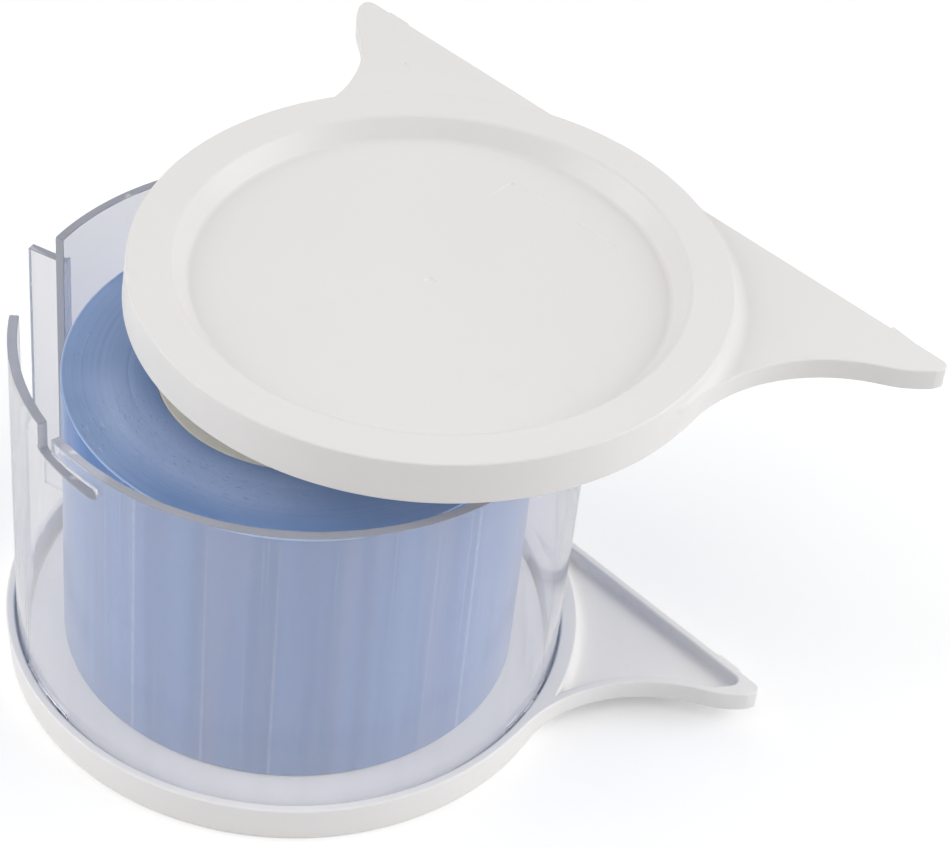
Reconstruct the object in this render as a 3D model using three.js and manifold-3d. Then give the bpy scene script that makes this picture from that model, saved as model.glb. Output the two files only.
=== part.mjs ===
// Round dispenser for a narrow roll of cling film: two identical moulded end plates with pointed ears,
// a clear tube between them that turns on bayonet lugs, and a film roll on a card core. The upper
// plate is off its lugs and rests, pushed to the back, on top of the roll. Millimetres, +Z up.
import * as THREE from 'three';
import { mergeVertices } from 'three/addons/utils/BufferGeometryUtils.js';
import Module from 'manifold-3d';

const wasm = await Module();
wasm.setup();

// End plate disc. Heights run from the outer face (0) towards the inside of the dispenser.
const plateRadius = 93.5;
const plateFootRadius = 92.4;
const rimWall = 2.2;
const rimHeight = 13.8;
const edgeRound = 0.8;
const ringInnerRadius = 79;
const panelRadius = 74;
const recessDepth = 7;
const floorHeight = 10;
const grooveInnerRadius = 86.2;
const grooveFloor = 3;
const rimInnerRadius = plateRadius - rimWall;

// Ears: the long straight edge touches the disc, and an S-shaped edge runs back from each tip.
const earEdgeY = 93.6;
const earRootRadius = 92.2;
const earOuterFace = 6.5;
const earTipX = 128.7;
const earTipRadius = 3;
const earTipRadiusMin = 1;
const earTipPullIn = 2.2;
const earHollowRadius = 54;
const earHollowAngle = THREE.MathUtils.degToRad(12.1);
const earHollowEndX = 116.6;
const earBulgeRadius = 35;
const shoulderFoot = 1.2;
const shoulderRadius = 97.5;
const shoulderTop = 7;
const trayWall = 3;
const trayFloor = 9.3;
const trayCollarRadius = 96.5;
const wedgeStartX = 105.5;
const wedgeLength = 12;
const wedgeHeight = 1.5;

// Clear tube, with a film opening on one side.
const tubeRadius = 90;
const tubeWall = 3;
const tubeBottom = 3.3;
const tubeLength = 123.6;
const tubeTop = tubeBottom + tubeLength;
const openingFrom = -159.5;
const openingTo = -133.5;

// Bayonet: three lugs in each plate's rim, and L-shaped slots in both ends of the tube.
const bayonetCount = 3;
const lugAngle = -101.5;
const lugWidth = 6.4;
const lugHeight = 3.4;
const lugInnerRadius = 88;
const slotHeight = 4;
const slotInset = 5.9;
const entryWidth = 7.4;
const slotTravel = 13.2;
const topEntryAngle = -97.85;
const bottomEntryAngle = -94.5;

// Guide strip bonded to the tube beside the opening, standing straight out.
const stripAngle = -161.7;
const stripThickness = 3;
const stripOuterRadius = 102;
const stripInset = 11;

// Film roll, card core and the two hubs that hold the core.
const rollRadius = 74.5;
const rollBottom = 10.3;
const rollTop = 112;
const coreOuterRadius = 45.5;
const coreInnerRadius = 38.1;
const windingGap = 0.2;
const hubRadius = 36.5;
const hubWall = 2.5;
const hubFloor = 2;
const hubHeight = 27.3;
const bondGap = 0.3;

// Where the removed upper plate rests.
const lidShift = new THREE.Vector3(18, 33.5, 150.1);
const lidTwist = THREE.MathUtils.degToRad(1.05);
const lidTilt = THREE.MathUtils.degToRad(-0.73);

const roundSegments = 72;
const arcSegments = 10;
const overlap = 1;
const mergeTolerance = 1e-4;

const whitePlastic = new THREE.MeshStandardMaterial({ color: 0xe8e6e4, roughness: 0.45, metalness: 0 });
const clearAcrylic = new THREE.MeshStandardMaterial({
  color: 0xf0f2f5, roughness: 0.08, metalness: 0, transparent: true, opacity: 0.25,
});
const blueFilm = new THREE.MeshStandardMaterial({ color: 0x6f9bd6, roughness: 0.3, metalness: 0 });
const coreBoard = new THREE.MeshStandardMaterial({ color: 0xc9b48f, roughness: 0.9, metalness: 0 });

const degrees = THREE.MathUtils.degToRad;

function toSolid(geometry) {
  geometry.deleteAttribute('normal');
  geometry.deleteAttribute('uv');
  const merged = mergeVertices(geometry, mergeTolerance);
  return new wasm.Manifold(new wasm.Mesh({
    numProp: 3,
    vertProperties: merged.attributes.position.array,
    triVerts: new Uint32Array(merged.index.array),
  }));
}

function toMesh(name, solid, material) {
  const { vertProperties, triVerts } = solid.getMesh();
  const geometry = new THREE.BufferGeometry();
  geometry.setAttribute('position', new THREE.BufferAttribute(vertProperties, 3));
  geometry.setIndex(new THREE.BufferAttribute(triVerts, 1));
  geometry.computeVertexNormals();
  const mesh = new THREE.Mesh(geometry, material);
  mesh.name = name;
  return mesh;
}

// Turns a closed outline of [radius, height] pairs about the Z axis.
function turned(outline) {
  const points = outline.map(([radius, height]) => new THREE.Vector2(radius, height));
  const closed = points[0].x > 0 || points.at(-1).x > 0;
  if (closed) points.push(points[0].clone());
  const geometry = new THREE.LatheGeometry(points, roundSegments);
  geometry.rotateX(Math.PI / 2);
  return toSolid(geometry);
}

function cylinder(radius, from, to) {
  return turned([[0, from], [radius, from], [radius, to], [0, to]]);
}

function ring(innerRadius, outerRadius, from, to) {
  return turned([[innerRadius, from], [outerRadius, from], [outerRadius, to], [innerRadius, to]]);
}

function prism(shape, from, to) {
  const geometry = new THREE.ExtrudeGeometry(shape, {
    depth: to - from, bevelEnabled: false, curveSegments: arcSegments,
  });
  geometry.translate(0, 0, from);
  return toSolid(geometry);
}

function block(size, centre, angle) {
  const geometry = new THREE.BoxGeometry(size.x, size.y, size.z);
  geometry.translate(centre.x, centre.y, centre.z);
  geometry.rotateZ(angle);
  return toSolid(geometry);
}

// One sector of a ring, between two angles in degrees.
function sector(innerRadius, outerRadius, from, to, bottom, top) {
  const shape = new THREE.Shape();
  shape.absarc(0, 0, outerRadius, degrees(from), degrees(to), false);
  shape.absarc(0, 0, innerRadius, degrees(to), degrees(from), true);
  shape.closePath();
  return prism(shape, bottom, top);
}

// Outline of the ear on the +X side, drawn in by the given inset.
function earShape(inset) {
  const hollow = new THREE.Vector2(
    (plateRadius + earHollowRadius) * Math.cos(earHollowAngle),
    (plateRadius + earHollowRadius) * Math.sin(earHollowAngle),
  );
  const hollowRadius = earHollowRadius + inset;
  const endAngle = Math.PI - Math.acos((hollow.x - earHollowEndX) / earHollowRadius);
  const bulgeReach = earHollowRadius + earBulgeRadius;
  const bulge = new THREE.Vector2(
    hollow.x + bulgeReach * Math.cos(endAngle),
    hollow.y + bulgeReach * Math.sin(endAngle),
  );
  const bulgeRadius = earBulgeRadius - inset;
  const edgeY = earEdgeY - inset;
  const tipRadius = Math.max(earTipRadius - inset / 2, earTipRadiusMin);
  const tipX = earTipX - inset * earTipPullIn;
  const tipY = edgeY - tipRadius;
  const bulgeEndAngle = Math.atan2(tipY - tipRadius - bulge.y, tipX - bulge.x);

  const shape = new THREE.Shape();
  shape.moveTo(-overlap, 0);
  shape.absarc(hollow.x, hollow.y, hollowRadius, earHollowAngle + Math.PI, endAngle, true);
  shape.absarc(bulge.x, bulge.y, bulgeRadius, endAngle - Math.PI, bulgeEndAngle, false);
  shape.absarc(tipX - tipRadius, tipY, tipRadius, 0, Math.PI / 2, false);
  shape.lineTo(-overlap, edgeY);
  shape.closePath();
  return shape;
}

// Low wedge on the straight edge near the tip.
function wedgeShape() {
  const shape = new THREE.Shape();
  shape.moveTo(wedgeStartX, earEdgeY - overlap);
  shape.lineTo(wedgeStartX + wedgeLength, earEdgeY - overlap);
  shape.lineTo(wedgeStartX, earEdgeY + wedgeHeight);
  shape.closePath();
  return shape;
}

function mirrored(solid) {
  return solid.mirror([1, 0, 0]).add(solid);
}

function plateSolid() {
  const disc = turned([
    [0, recessDepth], [panelRadius, recessDepth], [ringInnerRadius, edgeRound],
    [ringInnerRadius + edgeRound, 0], [plateFootRadius - edgeRound, 0], [plateFootRadius, edgeRound],
    [plateRadius, rimHeight - edgeRound], [plateRadius - edgeRound, rimHeight],
    [rimInnerRadius + edgeRound, rimHeight], [rimInnerRadius, rimHeight - edgeRound],
    [rimInnerRadius, grooveFloor], [grooveInnerRadius, grooveFloor], [grooveInnerRadius, floorHeight],
    [0, floorHeight],
  ]);
  const shoulder = turned([
    [rimInnerRadius, shoulderFoot], [plateFootRadius, shoulderFoot],
    [shoulderRadius, shoulderTop], [rimInnerRadius, shoulderTop],
  ]);
  const tray = prism(earShape(trayWall), trayFloor, rimHeight + overlap)
    .subtract(cylinder(trayCollarRadius, 0, rimHeight + 2 * overlap));
  const discSpace = cylinder(earRootRadius, -overlap, rimHeight + overlap);
  const ear = prism(earShape(0), earOuterFace, rimHeight)
    .add(prism(wedgeShape(), earOuterFace, rimHeight))
    .add(shoulder.intersect(prism(earShape(0), 0, rimHeight)))
    .subtract(tray)
    .subtract(discSpace);
  return disc.add(mirrored(ear)).add(lugs());
}

function lugs() {
  const lugDepth = rimInnerRadius + rimWall / 2 - lugInnerRadius;
  const lugBottom = tubeBottom + slotInset + (slotHeight - lugHeight) / 2;
  const size = new THREE.Vector3(lugDepth, lugWidth, lugHeight);
  const centre = new THREE.Vector3(lugInnerRadius + lugDepth / 2, 0, lugBottom + lugHeight / 2);
  return Array.from({ length: bayonetCount }, (_, index) => (
    block(size, centre, degrees(lugAngle + index * 360 / bayonetCount))
  )).reduce((all, lug) => all.add(lug));
}

// L-shaped cut in one end of the tube: an entry from the end, then a level run to the closed end.
function bayonetSlot(entry, turn, fromEnd, endHeight, inward) {
  const halfEntry = THREE.MathUtils.radToDeg(entryWidth / 2 / tubeRadius);
  const inner = tubeRadius - tubeWall - overlap;
  const outer = tubeRadius + overlap;
  const runLow = inward > 0 ? endHeight + fromEnd : endHeight - fromEnd - slotHeight;
  const closed = entry + turn * (slotTravel + halfEntry);
  const open = entry - turn * halfEntry;
  const runHigh = runLow + slotHeight;
  const run = sector(inner, outer, Math.min(open, closed), Math.max(open, closed), runLow, runHigh);
  const low = inward > 0 ? endHeight - overlap : runLow;
  const high = inward > 0 ? runHigh : endHeight + overlap;
  return run.add(sector(inner, outer, entry - halfEntry, entry + halfEntry, low, high));
}

function tubeSolid() {
  const inner = tubeRadius - tubeWall;
  let tube = ring(inner, tubeRadius, tubeBottom, tubeTop);
  const opening = sector(
    inner - overlap, tubeRadius + overlap, openingFrom, openingTo, tubeBottom - overlap, tubeTop + overlap,
  );
  tube = tube.subtract(opening);
  for (let index = 0; index < bayonetCount; index += 1) {
    const step = index * 360 / bayonetCount;
    tube = tube.subtract(bayonetSlot(topEntryAngle + step, 1, slotInset, tubeTop, -1));
    tube = tube.subtract(bayonetSlot(bottomEntryAngle + step, -1, slotInset, tubeBottom, 1));
  }
  return tube;
}

function stripSolid() {
  const depth = stripOuterRadius - tubeRadius - bondGap;
  const height = tubeLength - 2 * stripInset;
  const size = new THREE.Vector3(depth, stripThickness, height);
  const centre = new THREE.Vector3(stripOuterRadius - depth / 2, 0, tubeBottom + tubeLength / 2);
  return block(size, centre, degrees(stripAngle));
}

function hubSolid() {
  const bottom = floorHeight + bondGap;
  const top = floorHeight + hubHeight;
  const wallRadius = hubRadius - hubWall;
  return turned([
    [0, bottom], [hubRadius, bottom], [hubRadius, top - edgeRound], [hubRadius - edgeRound, top],
    [wallRadius, top], [wallRadius, bottom + hubFloor], [0, bottom + hubFloor],
  ]);
}

function plateAssembly(prefix) {
  const group = new THREE.Group();
  group.add(toMesh(`${prefix}_plate`, plateSolid(), whitePlastic));
  group.add(toMesh(`${prefix}_core_hub`, hubSolid(), whitePlastic));
  return group;
}

const dispenser = new THREE.Group();
dispenser.add(plateAssembly('base'));
dispenser.add(toMesh('shroud_tube', tubeSolid(), clearAcrylic));
dispenser.add(toMesh('film_guide_strip', stripSolid(), clearAcrylic));
const roll = ring(coreOuterRadius + windingGap, rollRadius, rollBottom, rollTop);
dispenser.add(toMesh('film_roll', roll, blueFilm));
dispenser.add(toMesh('roll_core', ring(coreInnerRadius, coreOuterRadius, rollBottom, rollTop), coreBoard));

// The lid is the same plate turned over about its Y axis.
const lid = plateAssembly('lid');
lid.rotation.set(0, Math.PI + lidTilt, lidTwist, 'ZYX');
lid.position.copy(lidShift);
dispenser.add(lid);

// The part's origin is the bottom centre of the whole assembly's box.
const box = new THREE.Box3().setFromObject(dispenser, true);
const group = new THREE.Group();
dispenser.position.set(-(box.min.x + box.max.x) / 2, -(box.min.y + box.max.y) / 2, -box.min.z);
group.add(dispenser);

export default group;
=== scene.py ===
"""Looks of a round cling film dispenser: two moulded white end plates with pointed ears, a clear tube
with bayonet slots and a film opening, and a blue film roll on a card core. Metres, +Z up."""

import math

import bmesh
import bpy
import numpy as np
from mathutils import Matrix, Vector


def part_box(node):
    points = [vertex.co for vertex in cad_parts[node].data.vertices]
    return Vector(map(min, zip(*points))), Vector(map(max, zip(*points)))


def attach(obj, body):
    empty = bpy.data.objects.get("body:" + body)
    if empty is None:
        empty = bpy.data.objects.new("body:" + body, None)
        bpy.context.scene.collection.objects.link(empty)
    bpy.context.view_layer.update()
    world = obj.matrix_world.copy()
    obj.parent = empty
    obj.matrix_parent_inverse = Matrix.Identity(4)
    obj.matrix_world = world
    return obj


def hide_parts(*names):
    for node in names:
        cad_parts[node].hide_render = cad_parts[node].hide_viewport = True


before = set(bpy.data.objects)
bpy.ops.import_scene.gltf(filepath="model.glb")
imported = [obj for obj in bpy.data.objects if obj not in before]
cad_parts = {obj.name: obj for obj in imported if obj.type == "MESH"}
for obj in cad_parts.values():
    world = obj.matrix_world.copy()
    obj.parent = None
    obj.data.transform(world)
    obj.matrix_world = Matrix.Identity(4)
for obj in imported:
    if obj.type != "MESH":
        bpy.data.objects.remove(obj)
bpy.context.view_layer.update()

# Camera, as its turns about the roll axis, its distance, and its shifts to the right and up.
CAMERA_AZIMUTH = 42.22
CAMERA_ELEVATION = 41.02
CAMERA_ROLL = 6.63
CAMERA_DISTANCE = 0.8984
CAMERA_RIGHT = 0.0625
CAMERA_UP = 0.0678
CAMERA_LENS = 101.3
CAMERA_SENSOR = 36.0

# End plate. Heights run from its outer face towards the inside of the dispenser.
PLATE_RADIUS = 0.0935
PLATE_FOOT_RADIUS = 0.0924
RIM_INNER_RADIUS = 0.0905
RIM_HEIGHT = 0.0138
RING_INNER_RADIUS = 0.079
PANEL_RADIUS = 0.074
RECESS_DEPTH = 0.007
FLOOR_HEIGHT = 0.010
GROOVE_INNER_RADIUS = 0.0862
GROOVE_FLOOR = 0.003
RIM_ROUND = 0.0007
RECESS_ROUND = 0.0022

EAR_EDGE_Y = 0.0936
EAR_ROOT_RADIUS = 0.0922
EAR_OUTER_FACE = 0.0065
EAR_TIP_X = 0.1287
EAR_TIP_RADIUS = 0.003
EAR_HOLLOW_RADIUS = 0.054
EAR_HOLLOW_ANGLE = math.radians(12.1)
EAR_HOLLOW_END_X = 0.1166
EAR_BULGE_RADIUS = 0.035
EAR_ROUND = 0.0006
EAR_ROOT_DIVE = 0.0028
EAR_ROOT_STEPS = 6
SHOULDER_FOOT = 0.0012
SHOULDER_RADIUS = 0.0975
SHOULDER_STEPS = 8
TRAY_WALL = 0.003
TRAY_END_X = 0.1213
TRAY_END_RADIUS = 0.0024
TRAY_END_TURN = math.radians(-35)
TRAY_BULGE_TURN = math.radians(6)
TRAY_BULGE_STEPS = 2
TRAY_FLOOR = 0.0093
TRAY_ROUND = 0.0009
TRAY_COLLAR_RADIUS = 0.0962
COLLAR_FILLET = 0.0032
LABEL_PLACE = (-0.0022, 0.0500)
LABEL_SIZE = (0.0456, 0.0146)
LABEL_CORNER = 0.0012
LABEL_TURN = -2.5
LABEL_DEPTH = 0.00045
LABEL_SLOPE_SHARE = 0.44
LABEL_SLOPE = LABEL_SLOPE_SHARE * LABEL_DEPTH / (LABEL_SIZE[1] / 2)
PIT_SEGMENTS = 24
GATE_PLACE = (0.00013, 0.00007)
GATE_RADIUS = 0.0016
GATE_DEPTH = 0.0004
PIN_MARK_PLACE = (0.0913, 0.0759)
PIN_MARK_RADIUS = 0.0012
WEDGE_START_X = 0.1055
WEDGE_LENGTH = 0.012
WEDGE_HEIGHT = 0.0013
WEDGE_DROP = 0.00025
BLOCK_START_X = 0.1092
BLOCK_LENGTH = 0.0092
BLOCK_HEIGHT = 0.0007

# Clear tube. Angles are in degrees about the roll axis.
TUBE_RADIUS = 0.090
TUBE_WALL = 0.003
TUBE_EDGE = 0.00035
OPENING_FROM = -133.5
OPENING_TO = 200.5
SLOT_HEIGHT = 0.004
SLOT_INSET = 0.0059
SLOT_TRAVEL = 13.2
BOTTOM_SLOT_CORNER = 0.001
TOP_SLOT_CORNER = SLOT_HEIGHT * 0.48
SLOT_CORNER_STEPS = 7
ENTRY_WIDTH = 0.0074
ENTRY_CORNER = 0.0006
ENTRY_HEEL = 0.0012
OPENING_CORNER = 0.0008
TOP_ENTRY = -97.85
BOTTOM_ENTRY = -94.5
BAYONET_COUNT = 3
LUG_ANGLE = -101.5
LUG_WIDTH = 0.0064
LUG_HEIGHT = 0.0034
LUG_INNER_RADIUS = 0.088
LUG_CORNER = 0.0008
LUG_ROUND = 0.0003
TUBE_SEAT_GAP = 0.0003

# Roll, card core and the two hubs. The creep is how far some turns of film stand in from the ends.
CORE_OUTER_RADIUS = 0.0455
CORE_INNER_RADIUS = 0.0381
CORE_CORNER = 0.0006
WINDING_GAP = 0.0002
ROLL_CORNER = 0.0006
CREEP_COUNT = 22
CREEP_HEIGHT = 0.00010
CREEP_WIDTH = 0.00008
CREEP_INNER_MARGIN = 0.001
CREEP_OUTER_MARGIN = 0.0015
HUB_RADIUS = 0.0365
HUB_WALL = 0.0025
HUB_FLOOR = 0.002
HUB_HEIGHT = 0.0273
HUB_FOOT_CORNER = 0.0004
HUB_LIP_CORNER = 0.0009
HUB_INNER_CORNER = 0.0012
RIB_COUNT = 3
RIB_ANGLE = 30
RIB_HEIGHT = 0.0008
RIB_FOOT_WIDTH = 0.002
RIB_CREST_WIDTH = 0.0014
RIB_ROUND = 0.0005
RIB_START = 0.002
RIB_END = 0.003
BOND_GAP = 0.0003

# Guide strip beside the tube's opening, with a bead of cement along its foot.
STRIP_ANGLE = -161.7
STRIP_THICKNESS = 0.003
STRIP_OUTER_RADIUS = 0.102
STRIP_GAP = 0.0001
STRIP_CORNER = 0.0004
STRIP_ROUND = 0.0003
BEAD_WIDTH = 0.0009
BEAD_ROUND = 0.0001

# Where the upper plate rests: its turn and its slight tilt.
LID_TWIST = math.radians(1.05)
LID_TILT = math.radians(-0.73)

# How finely round shapes are divided, and how far a tool reaches past what it cuts or joins.
ROUND_SEGMENTS = 256
ROUND_STEPS = 5
EDGE_STEPS = 4
TUBE_EDGE_STEPS = 3
ARC_STEPS = 36
OVERLAP = 0.001
MIN_MITRE = 0.5
WELD_DISTANCE = 2e-6
CUT_DISTANCE = 1e-7

# Edges sharper than these angles, in degrees, stay sharp. The weight keeps large flat faces flat.
SHARP_ANGLE = 32
THIN_SHARP_ANGLE = 40
ROLL_SHARP_ANGLE = 50
FLAT_FACE_WEIGHT = 90

# How squarely a face must point one way to count as a clear wall, a cut edge or the roll's end.
WALL_FACING = 0.8
CUT_EDGE_FACING = 0.6
END_FACING = 0.5

PLASTIC_IOR = 1.49

# White plastic: its hue, the tone of each plate, and its clouds and scuffs as shares of that tone.
# The two tones are lit and shaded copies of one plastic: the base is painted lighter, the lid darker.
PLASTIC_HUE = (1.0, 0.980, 0.968)
BASE_PAINTED_LIGHT_TONE = 0.920
LID_PAINTED_SHADE_TONE = 0.815
CLOUD_SHARE = 0.970
SCUFF_SHARE = 0.955

# Clear acrylic and its cut edges. Upright cut faces are painted lighter than level ones: painted light
# by the way a face points.
ACRYLIC_CLEAR = (0.965, 0.960, 0.985)
ACRYLIC_HAZE = (0.935, 0.930, 0.955)
ACRYLIC_TINT = (0.98, 0.98, 0.98)
EDGE_DARK = (0.49, 0.51, 0.59)
EDGE_LIGHT = (0.57, 0.59, 0.67)
EDGE_UPRIGHT_PAINTED_LIGHTER = (0.70, 0.71, 0.77)
# A painted highlight along the pointed corners of the cut edges.
EDGE_PAINTED_HIGHLIGHT = (0.90, 0.90, 0.95)

# The roll's side, and its ends with their rim.
SIDE_DARK = (0.066, 0.188, 0.480)
SIDE_LIGHT = (0.102, 0.238, 0.560)
SIDE_GREY = (0.190, 0.255, 0.500)
SIDE_STREAK = (0.30, 0.42, 0.68)
SIDE_LINE = (0.42, 0.52, 0.74)

END_DARK = (0.162, 0.275, 0.540)
END_LIGHT = (0.206, 0.325, 0.605)
END_RING = (0.29, 0.44, 0.73)
# Painted sheen: a paler blue for a patch of soft reflection on the end.
END_PAINTED_SHEEN = (0.42, 0.535, 0.81)
END_GLINT = (0.48, 0.60, 0.82)
# Painted shadow: the dark of the gaps between turns of film.
END_GAP_SHADOW = (0.07, 0.13, 0.28)
END_RIM = (0.42, 0.57, 0.84)
END_RIM_FROM = 0.0735
END_RIM_TO = 0.0743

# The painted sheen on the roll's end, a paler patch standing in for a soft reflection: its place as a
# share of a turn and a radius, and its half widths.
SHEEN_PATCH_TURN = 0.225
SHEEN_PATCH_RADIUS = 0.0565
SHEEN_PATCH_FULL_WIDTH = 0.003
SHEEN_PATCH_FADED_WIDTH = 0.014

# Card core. The seam's width is its share of the pitch of its spiral.
CARD_DARK = (0.72, 0.69, 0.60)
CARD_LIGHT = (0.84, 0.81, 0.72)
CARD_PLY = (0.58, 0.54, 0.45)
SEAM_PITCH = 0.095
SEAM_SHARE = 0.012

# Studio: the sky's strength behind the object and on the camera's side, and the soft lamps, as
# (name, turn from the camera, rise, distance, (width, height), power).
SKY_BACK = 0.50
SKY_FRONT = 0.29
FLOOR_GLOW = 0.20
FLOOR_RADIUS = 6.0
FLOOR_SEGMENTS = 128
FLOOR_THICKNESS = 0.02
FLOOR_GAP = 0.0001
LAMPS = (
    ("left_lamp", -82, 30, 1.6, (1.3, 1.3), 12.2),
    ("right_lamp", 90, 28, 1.6, (1.3, 1.3), 14.0),
    ("back_lamp", 178, 50, 1.6, (1.6, 1.0), 2.2),
    ("top_lamp", 0, 68, 1.6, (1.2, 1.2), 4.2),
)

rng = np.random.default_rng(7)


# ---------------------------------------------------------------- outlines and solids

def turned_vector(vector, angle):
    return Vector((
        vector.x * math.cos(angle) - vector.y * math.sin(angle),
        vector.x * math.sin(angle) + vector.y * math.cos(angle),
    ))


def rounded(corners, steps=ROUND_STEPS):
    """Closed outline of points from (x, y, radius) corners, each radius drawn as an arc."""
    points = []
    for index, (x, y, radius) in enumerate(corners):
        here = Vector((x, y))
        if radius == 0:
            points.append(here)
            continue
        before = (Vector(corners[index - 1][:2]) - here).normalized()
        after = (Vector(corners[(index + 1) % len(corners)][:2]) - here).normalized()
        half = before.angle(after) / 2
        centre = here + (before + after).normalized() * radius / math.sin(half)
        start = here + before * radius / math.tan(half) - centre
        end = here + after * radius / math.tan(half) - centre
        sweep = math.atan2(start.x * end.y - start.y * end.x, start.dot(end))
        points += [centre + turned_vector(start, sweep * step / steps) for step in range(steps + 1)]
    return points


def arc(centre, radius, start, end, steps):
    angles = [start + (end - start) * step / steps for step in range(steps + 1)]
    return [centre + radius * Vector((math.cos(angle), math.sin(angle))) for angle in angles]


def circle(centre, radius, segments):
    last = segments - 1
    return arc(Vector(centre), radius, 0, 2 * math.pi * last / segments, last)


def inset(points, distance):
    """The same closed outline drawn in by a small distance."""
    moved = []
    for index, here in enumerate(points):
        before = (here - points[index - 1]).normalized()
        after = (points[(index + 1) % len(points)] - here).normalized()
        along = (before + after).normalized()
        stretch = 1 / max(MIN_MITRE, along.dot(after))
        moved.append(here + Vector((-along.y, along.x)) * distance * stretch)
    return moved


def solid(name, rings, closed=False):
    """Object skinned over rings of equal length, with its ends filled, or joined up if closed."""
    mesh = bmesh.new()
    rows = []
    for ring in rings:
        if len(ring) == 1:
            rows.append([mesh.verts.new(ring[0])] * len(max(rings, key=len)))
        else:
            rows.append([mesh.verts.new(point) for point in ring])
    pairs = list(zip(rows, rows[1:]))
    if closed:
        pairs.append((rows[-1], rows[0]))
    for low, high in pairs:
        for index in range(len(low)):
            corners = [low[index - 1], low[index], high[index], high[index - 1]]
            corners = [v for place, v in enumerate(corners) if v not in corners[:place]]
            if len(corners) > 2:
                mesh.faces.new(corners)
    if not closed:
        for row in (rows[0], rows[-1]):
            if len(set(row)) > 2:
                mesh.faces.new(row)
    bmesh.ops.recalc_face_normals(mesh, faces=mesh.faces)
    data = bpy.data.meshes.new(name)
    mesh.to_mesh(data)
    mesh.free()
    piece = bpy.data.objects.new(name, data)
    bpy.context.scene.collection.objects.link(piece)
    return piece


def lathe(name, outline):
    """Object turned about Z from an outline of (radius, height). It may start and end on the axis."""
    rings = []
    for radius, height in outline:
        if radius == 0:
            rings.append([(0, 0, height)])
            continue
        turns = [2 * math.pi * index / ROUND_SEGMENTS for index in range(ROUND_SEGMENTS)]
        rings.append([(radius * math.cos(turn), radius * math.sin(turn), height) for turn in turns])
    on_axis = outline[0][0] == 0
    return solid(name, rings, closed=not on_axis)


def stack(name, outline, levels):
    """Upright solid: the outline drawn in by each level's inset, at each level's height."""
    rings = []
    for distance, height in levels:
        flat = inset(outline, distance) if distance else outline
        rings.append([(point.x, point.y, height) for point in flat])
    return solid(name, rings)


def soft_levels(bottom, top, radius, steps=EDGE_STEPS):
    """Levels of a stack whose bottom and top edges are rounded."""
    turns = [math.pi / 2 * step / steps for step in range(steps + 1)]
    low = [(radius * (1 - math.sin(turn)), bottom + radius * (1 - math.cos(turn))) for turn in turns]
    high = [(radius * (1 - math.cos(turn)), top - radius * (1 - math.sin(turn))) for turn in turns]
    return low + high


def cutter_levels(bottom, face, radius):
    """Levels of a pocket's cutter: a rounded floor edge, and a flare that rounds the pocket's rim."""
    turns = [math.pi / 2 * step / EDGE_STEPS for step in range(EDGE_STEPS + 1)]
    low = [(radius * (1 - math.sin(turn)), bottom + radius * (1 - math.cos(turn))) for turn in turns]
    flare = [(-radius * (1 - math.cos(turn)), face - radius * (1 - math.sin(turn))) for turn in turns]
    return low + flare + [(-radius, face + OVERLAP)]


def combine(piece, tool, operation):
    """Joins, cuts or keeps the shared part of two solids, and removes the tool."""
    modifier = piece.modifiers.new("combine", "BOOLEAN")
    modifier.object = tool
    modifier.operation = operation
    modifier.solver = "EXACT"
    bpy.context.view_layer.update()
    result = bpy.data.meshes.new_from_object(
        piece.evaluated_get(bpy.context.evaluated_depsgraph_get())
    )
    piece.modifiers.clear()
    piece.data = result
    bpy.data.objects.remove(tool)
    return piece


def turn_to(piece, angle_degrees):
    piece.data.transform(Matrix.Rotation(math.radians(angle_degrees), 4, "Z"))
    return piece


def smooth(piece, angle=SHARP_ANGLE):
    """Smooth shading that keeps the flat faces flat and the sharp edges sharp."""
    mesh = bmesh.new()
    mesh.from_mesh(piece.data)
    bmesh.ops.remove_doubles(mesh, verts=mesh.verts, dist=WELD_DISTANCE)
    mesh.to_mesh(piece.data)
    mesh.free()
    piece.data.shade_smooth()
    piece.data.set_sharp_from_angle(angle=math.radians(angle))
    weights = piece.modifiers.new("flat_faces_stay_flat", "WEIGHTED_NORMAL")
    weights.keep_sharp = True
    weights.weight = FLAT_FACE_WEIGHT
    return piece


# ---------------------------------------------------------------- end plates

def ear_root():
    """The part of an ear's outline that dives into the disc."""
    points = []
    for step in range(EAR_ROOT_STEPS):
        turn = EAR_HOLLOW_ANGLE * step / EAR_ROOT_STEPS
        radius = PLATE_RADIUS - EAR_ROOT_DIVE * (1 - step / EAR_ROOT_STEPS) ** 2
        points.append(radius * Vector((math.cos(turn), math.sin(turn))))
    return points


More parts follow.
